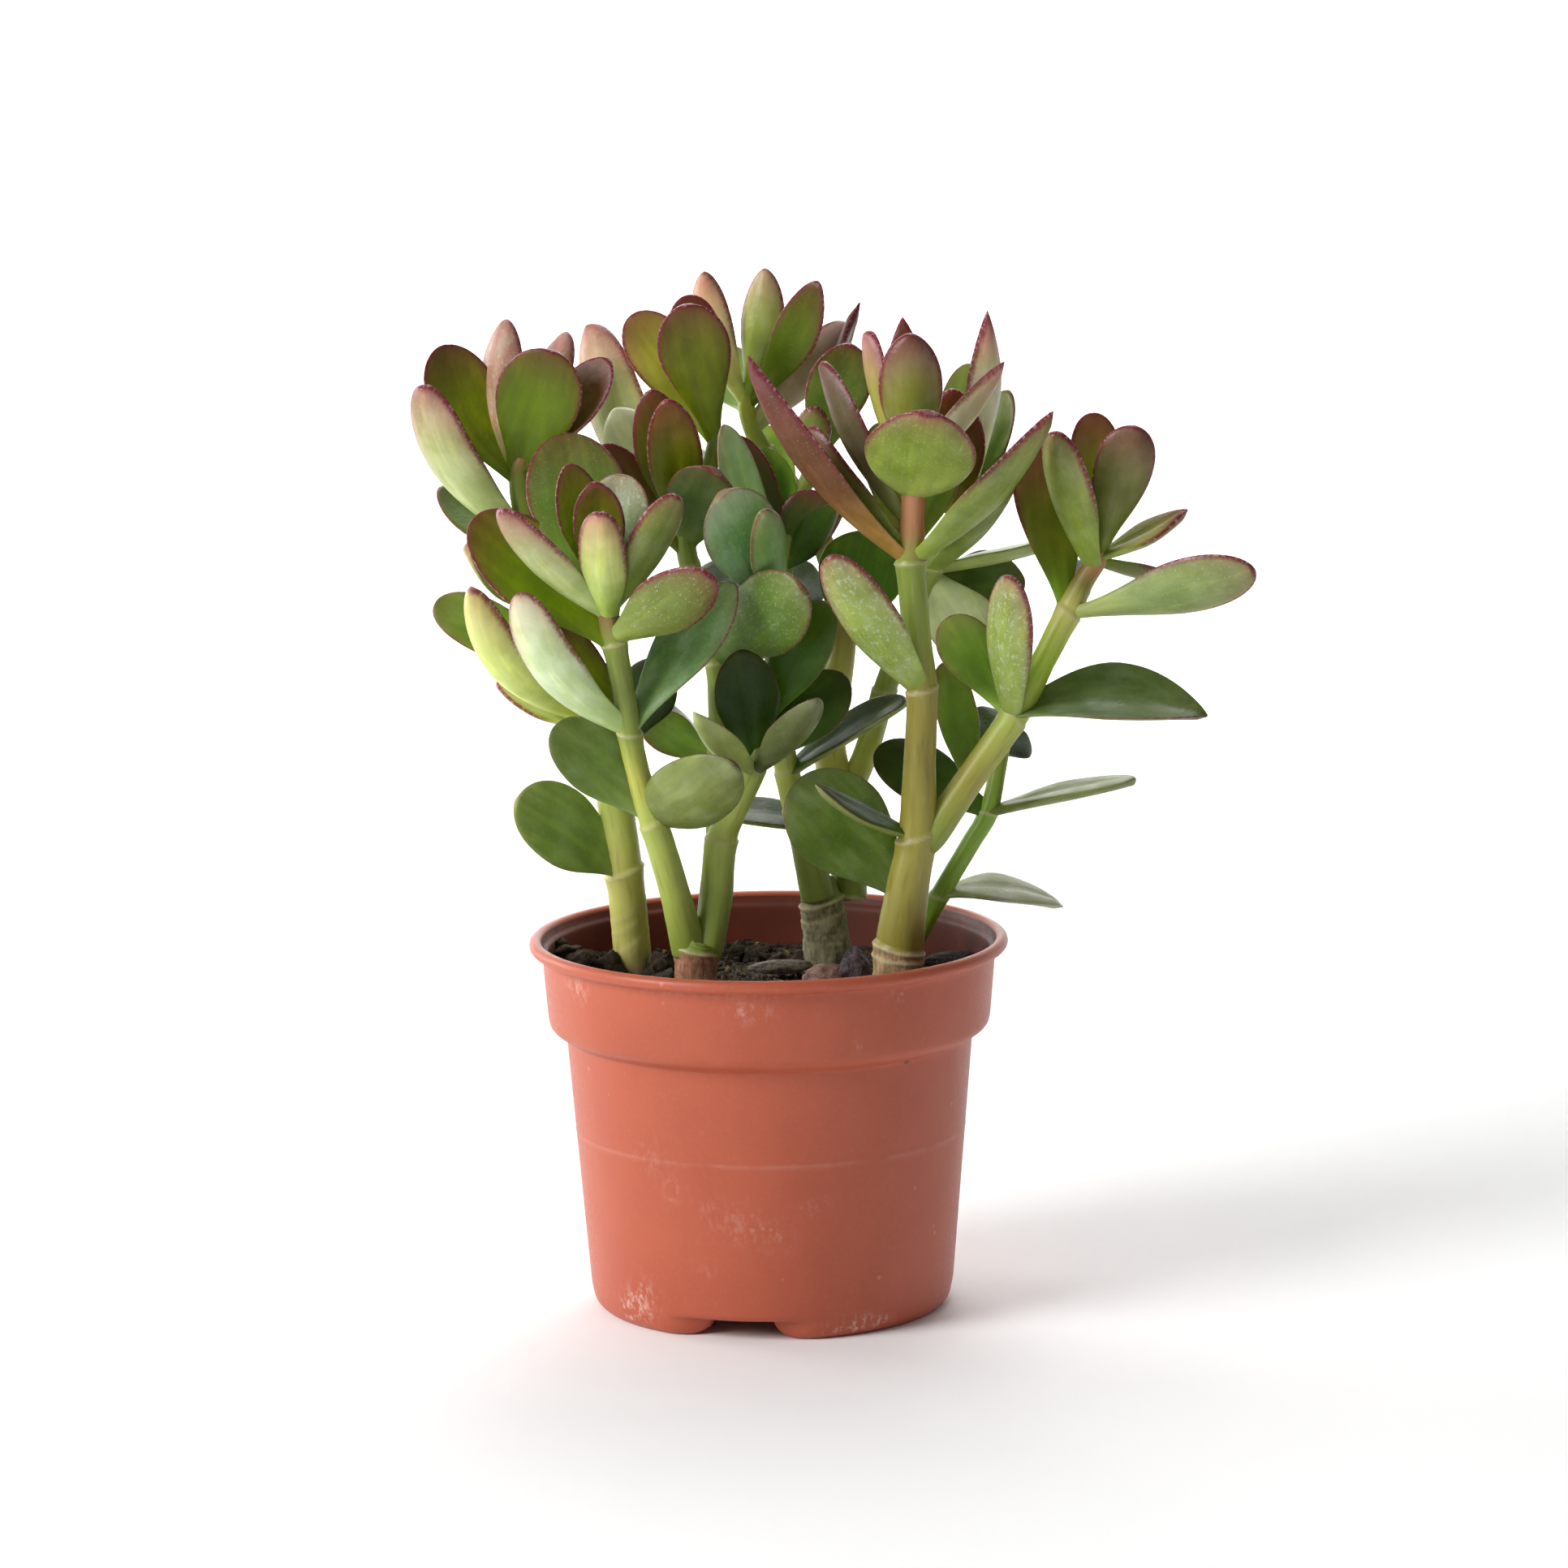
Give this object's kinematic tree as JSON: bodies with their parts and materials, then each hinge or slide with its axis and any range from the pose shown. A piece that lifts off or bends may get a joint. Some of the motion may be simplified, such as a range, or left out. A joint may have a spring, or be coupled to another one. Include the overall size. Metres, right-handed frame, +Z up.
{
  "type": "potted jade plant",
  "caption": "Succulent with thick paddle-shaped leaves on woody stems, standing in soil in a round tapered nursery pot.",
  "frame": {"origin": "middle of the whole plant's bounding box, on the surface that the pot stands on; the pot's axis is 16.9 mm to the -X side of it", "axes": "+Z up, -Y towards the side that the picture shows, +X to the right as seen from there"},
  "size_m": [0.2066, 0.12, 0.2581],
  "materials": {
    "pot_plastic": "terracotta-coloured moulded plastic, satin, with pale scuffs",
    "soil": "damp dark potting soil with bark crumbs",
    "stone_pale": "rough pinkish stone",
    "stone_pointed": "rough purplish grey stone",
    "bark_grey": "weathered grey bark chip",
    "bark_dark": "dark damp bark chip",
    "plant": "fleshy green leaves with red margins and a soft sheen, on olive to grey-brown stems"
  },
  "bodies": {
    "root": {"pot": "pot_plastic", "soil": "soil", "stone_pale": "stone_pale", "stone_pointed": "stone_pointed", "bark_chip_flat": "bark_grey", "bark_chip_right": "bark_dark", "leafy_stem_left_back": "plant", "leafy_stem_left_front": "plant", "leafy_stem_centre": "plant", "leafy_stem_right": "plant", "leafy_stem_right_low": "plant"}
  },
  "joints": []
}
